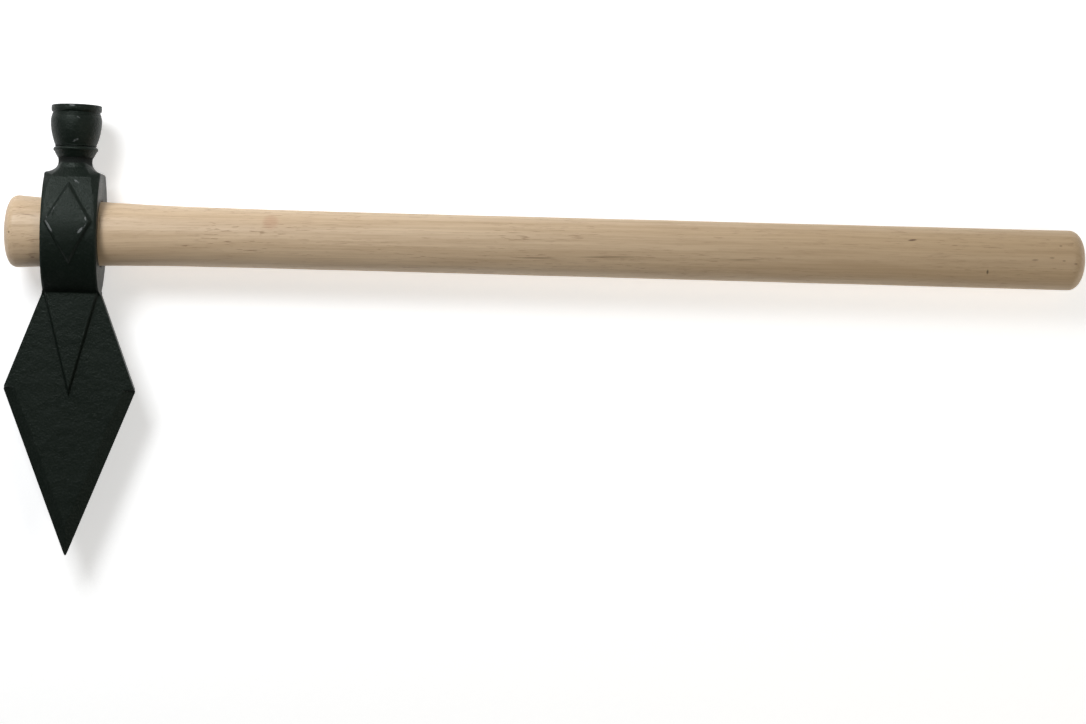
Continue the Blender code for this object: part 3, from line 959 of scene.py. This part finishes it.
def spot(s, place, at, size, tilt=0.0):
    """1 in the middle of an oval mark on the upper side, 0 outside it."""
    x, y, z = s.parts(place)[:3]
    along = s.math("SUBTRACT", x, at[0])
    across = s.math("SUBTRACT", s.math("SUBTRACT", y, at[1]), s.math("MULTIPLY", along, tilt))
    along = s.math("DIVIDE", along, size[0])
    across = s.math("DIVIDE", across, size[1])
    far = s.math("ADD", s.math("MULTIPLY", along, along), s.math("MULTIPLY", across, across))
    upper = s.math("GREATER_THAN", z, AXIS_Z)
    return s.math("MULTIPLY", s.span(far, 1.0, 0.0), upper)


def wood_place(s, place):
    """The grain runs out a little towards the bowl as it nears the head end."""
    x = s.parts(place)[0]
    along = s.math("MULTIPLY", s.math("SUBTRACT", HANDLE_LOW.x, x), 1 / RUNOUT_REACH)
    drift = s.math("MULTIPLY", s.math("POWER", math.e, along), -RUNOUT)
    shift = s.node("ShaderNodeCombineXYZ", {"Y": drift}).outputs[0]
    return s.vector("SUBTRACT", place, shift)


def stretched(s, place, along, across):
    """Coordinates for a pattern that is long on the handle and fine across it."""
    return s.vector("MULTIPLY", place, (along, across, across))


def growth_bands(s, place):
    """Growth rings cut lengthwise, about a heart that lies outside the stick."""
    drift = s.noise(stretched(s, place, 9.0, 40.0), 1.0, detail=2.0)
    wander = s.math("MULTIPLY", s.math("SUBTRACT", drift, 0.5), 0.012)
    y, z = s.parts(place)[1:3]
    heart_y = s.math("ADD", s.math("SUBTRACT", y, AXIS_Y + 0.030), wander)
    heart_z = s.math("SUBTRACT", z, AXIS_Z - 0.034)
    squares = [s.math("MULTIPLY", side, side) for side in (heart_y, heart_z)]
    years = s.math("FRACT", s.math("MULTIPLY", s.math("SQRT", s.math("ADD", *squares)), 300.0))
    return s.span(s.math("ABSOLUTE", s.math("SUBTRACT", years, 0.5)), 0.20, 0.5)


def pore_lines(s, place):
    """Short open pores, crowded in some places and sparse in others."""
    pores = s.noise(stretched(s, place, 150.0, 3100.0), 1.0, detail=1.5, roughness=0.4)
    fields = s.noise(stretched(s, place, 16.0, 110.0), 1.0, detail=2.0)
    return s.math("MULTIPLY", s.span(pores, 0.63, 0.70), s.span(fields, 0.40, 0.58, 0.35, 1.0))


def add_marks(s, place, fibre, tone):
    """The wood's dark flecks and stains, each a little ragged along the fibres."""
    for at, size, tilt, strength, colour in WOOD_MARKS:
        mask = spot(s, place, at, size, tilt)
        ragged = s.math("MULTIPLY", mask, s.span(fibre, 0.25, 0.6, 0.5, 1.0))
        tone = s.mix(s.math("MULTIPLY", ragged, strength), tone, (*colour, 1))
    return tone


def end_grain(s, x):
    """1 on the rounded ends, where the fibres are cut across."""
    head_end = s.span(x, HANDLE_LOW.x + ARRIS_PLACE + 0.0003, HANDLE_LOW.x + ARRIS_PLACE - 0.0006)
    butt = s.span(x, HANDLE_HIGH.x - 0.0046, HANDLE_HIGH.x - 0.0010)
    return s.math("ADD", head_end, butt)


def wood_material():
    """Bare pale hardwood: lengthwise fibres, short pores, soft growth bands, a few dark marks, and painted
    shade towards the butt.
    """
    s = Shader("bare_wood")
    place = s.place()
    grain = wood_place(s, place)
    x = s.parts(place)[0]
    fibre = s.noise(stretched(s, grain, 20.0, 1300.0), 1.0, detail=5.0, roughness=0.7)
    streak = s.noise(stretched(s, grain, 9.0, 330.0), 1.0, detail=4.0, roughness=0.6)
    cloud = s.noise(stretched(s, grain, 9.0, 30.0), 1.0, detail=2.0)
    pore = pore_lines(s, grain)
    tone = s.mix(cloud, (0.68, 0.50, 0.32, 1), (0.76, 0.585, 0.395, 1))
    # Painted shade: the wood turns darker and browner towards the butt, where the key light falls off.
    tone = s.mix(s.span(x, HANDLE_LOW.x + 0.20, HANDLE_HIGH.x), tone, (0.65, 0.475, 0.29, 1))
    tone = s.mix(s.math("MULTIPLY", s.span(streak, 0.42, 0.72), 0.32), tone, (0.47, 0.315, 0.175, 1))
    tone = s.mix(s.math("MULTIPLY", growth_bands(s, grain), 0.16), tone, (0.46, 0.30, 0.165, 1))
    tone = s.mix(s.math("MULTIPLY", s.span(fibre, 0.38, 0.70), 0.34), tone, (0.46, 0.31, 0.18, 1))
    far = s.span(x, HANDLE_LOW.x + 0.1, HANDLE_HIGH.x - 0.1, 0.65, 0.4)
    tone = s.mix(s.math("MULTIPLY", pore, far), tone, (0.27, 0.11, 0.05, 1))
    tone = add_marks(s, place, fibre, tone)
    ends = end_grain(s, x)
    tone = s.mix(s.math("MULTIPLY", ends, 0.30), tone, (0.44, 0.28, 0.17, 1))
    end_pores = s.cells(stretched(s, place, 50.0, 1700.0), 1.0)
    end_pore = s.math("MULTIPLY", s.span(end_pores, 0.22, 0.08), ends)
    tone = s.mix(s.math("MULTIPLY", end_pore, 0.5), tone, (0.16, 0.10, 0.06, 1))
    rough = s.span(streak, 0.3, 0.7, 0.42, 0.52)
    rough = s.math("ADD", rough, s.math("MULTIPLY", pore, 0.2), clamp=True)
    relief = s.math("SUBTRACT", s.math("MULTIPLY", fibre, 0.35), s.math("MULTIPLY", pore, 0.8))
    s.set(Base_Color=tone, Roughness=rough, Normal=s.bump(relief, 0.00010))
    return s.material


def oxide_material():
    """Black oxide on steel, with bright rubbed edges and fine turning marks."""
    s = Shader("black_oxide")
    place = s.place()
    rub = s.noise(place, 2200, detail=3.0)
    turning = s.noise(s.vector("MULTIPLY", place, (900.0, 900.0, 14000.0)), 1.0, detail=2.0)
    tone = s.mix(s.span(rub, 0.5, 0.75), (0.020, 0.020, 0.022, 1), (0.085, 0.084, 0.082, 1))
    rough = s.span(rub, 0.3, 0.7, 0.34, 0.5)
    s.set(Base_Color=tone, Roughness=rough, Normal=s.bump(turning, 0.00004))
    s.surface.inputs["Metallic"].default_value = 1.0
    return s.material


def floor_material():
    """A pale sweep with a faint tooth, lit a little from within so that it stays white."""
    s = Shader("pale_floor")
    place = s.place()
    tooth = s.noise(place, 240, detail=3.0)
    tone = s.mix(tooth, (0.90, 0.90, 0.90, 1), (0.93, 0.93, 0.93, 1))
    s.set(Base_Color=tone, Roughness=0.85, Normal=s.bump(tooth, 0.00005))
    s.surface.inputs["Emission Color"].default_value = (1, 1, 1, 1)
    glow = s.span(s.parts(place)[0], HANDLE_LOW.x, HANDLE_HIGH.x, *FLOOR_GLOW)
    s.feed(s.surface.inputs["Emission Strength"], glow)
    return s.material


# Stage

FLOOR_SIZE = 3.0
FLOOR_DROP = 0.0002
FLOOR_GLOW = (0.50, 0.55)  # at the head and at the butt
WORLD_GLOW = (-0.4, 0.7, 0.03, 0.25)  # low and high Y of the direction, glow at each
CAMERA_LENS = 97.1
CAMERA_SENSOR = 36.0
CAMERA_DISTANCE = 1.517
CAMERA_X = 0.0005
CAMERA_Y = -0.0098
CAMERA_ROLL = math.radians(1.53)


def build_floor():
    mesh = bmesh.new()
    bmesh.ops.create_grid(mesh, x_segments=1, y_segments=1, size=FLOOR_SIZE / 2)
    data = bpy.data.meshes.new("floor")
    mesh.to_mesh(data)
    mesh.free()
    floor = bpy.data.objects.new("floor", data)
    floor.location.z = cad_box[0][2] - FLOOR_DROP
    data.materials.append(floor_material())
    bpy.context.scene.collection.objects.link(floor)


def area_light(name, place, target, size, power, colour=(1, 1, 1)):
    data = bpy.data.lights.new(name, "AREA")
    data.shape = "RECTANGLE"
    data.size, data.size_y = size
    data.energy = power
    data.color = colour
    light = bpy.data.objects.new(name, data)
    light.location = place
    light.rotation_euler = (Vector(target) - Vector(place)).to_track_quat("-Z", "Y").to_euler()
    bpy.context.scene.collection.objects.link(light)


def build_lights():
    area_light("key", (-0.46, 0.44, 0.58), (-0.16, 0.04, 0.02), (0.34, 0.26), 4.3, (0.95, 0.97, 1.0))
    area_light("fill", (0.66, -0.08, 0.88), (0.25, 0.04, 0.02), (0.50, 0.40), 2.4, (1.0, 0.96, 0.88))
    world = bpy.data.worlds.new("studio")
    world.use_nodes = True
    tree = world.node_tree
    background = tree.nodes["Background"]
    background.inputs["Color"].default_value = (1.0, 0.98, 0.93, 1)
    direction = tree.nodes.new("ShaderNodeTexCoord")
    parts = tree.nodes.new("ShaderNodeSeparateXYZ")
    span = tree.nodes.new("ShaderNodeMapRange")
    for name, value in zip(("From Min", "From Max", "To Min", "To Max"), WORLD_GLOW):
        span.inputs[name].default_value = value
    tree.links.new(direction.outputs["Generated"], parts.inputs[0])
    tree.links.new(parts.outputs["Y"], span.inputs["Value"])
    tree.links.new(span.outputs[0], background.inputs["Strength"])
    bpy.context.scene.world = world


def build_camera():
    data = bpy.data.cameras.new("camera")
    data.lens = CAMERA_LENS
    data.sensor_width = CAMERA_SENSOR
    data.clip_end = 20.0
    camera = bpy.data.objects.new("camera", data)
    camera.location = (CAMERA_X, CAMERA_Y, AXIS_Z + CAMERA_DISTANCE)
    camera.rotation_euler = (0, 0, CAMERA_ROLL)
    bpy.context.scene.collection.objects.link(camera)
    bpy.context.scene.camera = camera
    bpy.context.scene.view_settings.view_transform = "Standard"


def place_piece(piece, body, node, material):
    piece.data.materials.clear()
    piece.data.materials.append(material)
    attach(piece, body)
    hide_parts(node)


place_piece(build_handle(), "handle", "handle", wood_material())
place_piece(build_head(), "axe_head", "axe_head", paint_material())
place_piece(build_screw(), "set_screw", "set_screw", oxide_material())
build_floor()
build_lights()
build_camera()
